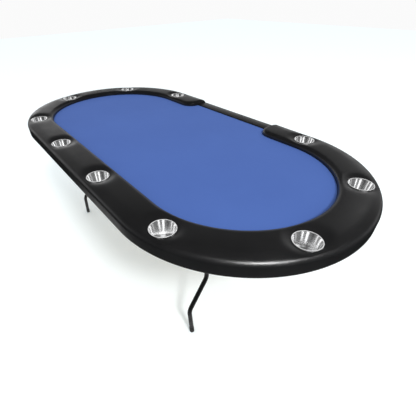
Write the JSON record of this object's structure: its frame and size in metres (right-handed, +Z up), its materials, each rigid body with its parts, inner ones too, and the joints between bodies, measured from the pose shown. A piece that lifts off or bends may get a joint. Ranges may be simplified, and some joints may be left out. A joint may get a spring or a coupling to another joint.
{
  "type": "folding poker table",
  "caption": "Oval folding card table with a padded rail, steel drop-in cup holders, a dealer's cutout, a cloth playing surface and wishbone folding legs.",
  "frame": {"origin": "on the floor under the centre of the table top", "axes": "+X along the table's length towards leg set a, +Y towards the dealer's cutout, +Z up"},
  "size_m": [2.2, 1.12, 0.76],
  "materials": {
    "vinyl": "black satin leatherette, fine grain",
    "cloth": "blue speed cloth, smooth close weave",
    "foam": "closed-cell upholstery foam",
    "plywood": "plywood, unfinished faces and edges",
    "hardwood": "planed hardwood, clear oiled",
    "stainless": "drawn and polished stainless steel",
    "painted_steel": "black powder coat, semi gloss",
    "zinc_steel": "zinc plated steel",
    "rubber": "matt black rubber"
  },
  "bodies": {
    "table": {"base_board": "plywood", "playfield_board": "plywood", "playfield_foam": "foam", "playing_cloth": "cloth", "rail_core": "plywood", "rail_foam": "foam", "rail_cover": "vinyl", "dealer_strip_core": "plywood", "dealer_strip_cover": "vinyl", "rail_bolt_1": "zinc_steel", "rail_bolt_2": "zinc_steel", "rail_bolt_3": "zinc_steel", "rail_bolt_4": "zinc_steel", "rail_bolt_5": "zinc_steel", "rail_bolt_6": "zinc_steel", "side_batten_dealer": "hardwood", "side_batten_player": "hardwood", "leg_block_a": "hardwood", "pivot_saddle_a_dealer": "painted_steel", "pivot_saddle_a_player": "painted_steel", "brace_bracket_a": "painted_steel", "brace_pin_table_a": "zinc_steel", "leg_block_b": "hardwood", "pivot_saddle_b_dealer": "painted_steel", "pivot_saddle_b_player": "painted_steel", "brace_bracket_b": "painted_steel", "brace_pin_table_b": "zinc_steel"},
    "leg_set_a": {"pivot_bar_a": "painted_steel", "leg_tube_a_dealer": "painted_steel", "leg_tube_a_player": "painted_steel", "crossbar_a": "painted_steel", "brace_lug_a": "painted_steel", "brace_pin_leg_a": "zinc_steel", "foot_cap_a_dealer": "rubber", "foot_cap_a_player": "rubber"},
    "upper_link_a": {"upper_brace_a": "painted_steel", "knee_rivet_a": "zinc_steel"},
    "lower_link_a": {"lower_brace_a": "painted_steel"},
    "leg_set_b": {"pivot_bar_b": "painted_steel", "leg_tube_b_dealer": "painted_steel", "leg_tube_b_player": "painted_steel", "crossbar_b": "painted_steel", "brace_lug_b": "painted_steel", "brace_pin_leg_b": "zinc_steel", "foot_cap_b_dealer": "rubber", "foot_cap_b_player": "rubber"},
    "upper_link_b": {"upper_brace_b": "painted_steel", "knee_rivet_b": "zinc_steel"},
    "lower_link_b": {"lower_brace_b": "painted_steel"},
    "cup_01": {"cup_holder_01": "stainless"},
    "cup_02": {"cup_holder_02": "stainless"},
    "cup_03": {"cup_holder_03": "stainless"},
    "cup_04": {"cup_holder_04": "stainless"},
    "cup_05": {"cup_holder_05": "stainless"},
    "cup_06": {"cup_holder_06": "stainless"},
    "cup_07": {"cup_holder_07": "stainless"},
    "cup_08": {"cup_holder_08": "stainless"},
    "cup_09": {"cup_holder_09": "stainless"},
    "cup_10": {"cup_holder_10": "stainless"}
  },
  "joints": [
    {"name": "leg_fold_a", "type": "hinge", "parent": "table", "child": "leg_set_a", "pos_m": [0.57061, 0, 0.655], "axis": [0, 1, 0], "range_deg": [0, 98.2]},
    {"name": "upper_link_fold_a", "type": "hinge", "parent": "table", "child": "upper_link_a", "pos_m": [0.23061, 0, 0.677], "axis": [0, 1, 0], "range_deg": [-40.1, 0]},
    {"name": "lower_link_fold_a", "type": "hinge", "parent": "leg_set_a", "child": "lower_link_a", "pos_m": [0.58592, 0, 0.39452], "axis": [0, 1, 0], "range_deg": [0, 45.5]},
    {"name": "leg_fold_b", "type": "hinge", "parent": "table", "child": "leg_set_b", "pos_m": [-0.57061, 0, 0.655], "axis": [0, -1, 0], "range_deg": [0, 94]},
    {"name": "upper_link_fold_b", "type": "hinge", "parent": "table", "child": "upper_link_b", "pos_m": [-0.23061, 0, 0.677], "axis": [0, -1, 0], "range_deg": [-35.2, 0]},
    {"name": "lower_link_fold_b", "type": "hinge", "parent": "leg_set_b", "child": "lower_link_b", "pos_m": [-0.58592, 0, 0.39452], "axis": [0, -1, 0], "range_deg": [0, 50.7]},
    {"name": "cup_lift_01", "type": "slide", "parent": "table", "child": "cup_01", "axis": [0, 0, 1], "range_m": [0, 0.065]},
    {"name": "cup_lift_02", "type": "slide", "parent": "table", "child": "cup_02", "axis": [0, 0, 1], "range_m": [0, 0.065]},
    {"name": "cup_lift_03", "type": "slide", "parent": "table", "child": "cup_03", "axis": [0, 0, 1], "range_m": [0, 0.065]},
    {"name": "cup_lift_04", "type": "slide", "parent": "table", "child": "cup_04", "axis": [0, 0, 1], "range_m": [0, 0.065]},
    {"name": "cup_lift_05", "type": "slide", "parent": "table", "child": "cup_05", "axis": [0, 0, 1], "range_m": [0, 0.065]},
    {"name": "cup_lift_06", "type": "slide", "parent": "table", "child": "cup_06", "axis": [0, 0, 1], "range_m": [0, 0.065]},
    {"name": "cup_lift_07", "type": "slide", "parent": "table", "child": "cup_07", "axis": [0, 0, 1], "range_m": [0, 0.065]},
    {"name": "cup_lift_08", "type": "slide", "parent": "table", "child": "cup_08", "axis": [0, 0, 1], "range_m": [0, 0.065]},
    {"name": "cup_lift_09", "type": "slide", "parent": "table", "child": "cup_09", "axis": [0, 0, 1], "range_m": [0, 0.065]},
    {"name": "cup_lift_10", "type": "slide", "parent": "table", "child": "cup_10", "axis": [0, 0, 1], "range_m": [0, 0.065]}
  ],
  "couplings": [
    {"joint": "upper_link_fold_a", "follows": "leg_fold_a", "ratio": -0.4064},
    {"joint": "lower_link_fold_a", "follows": "leg_fold_a", "ratio": 0.46178},
    {"joint": "upper_link_fold_b", "follows": "leg_fold_b", "ratio": -0.37334},
    {"joint": "lower_link_fold_b", "follows": "leg_fold_b", "ratio": 0.53789}
  ]
}
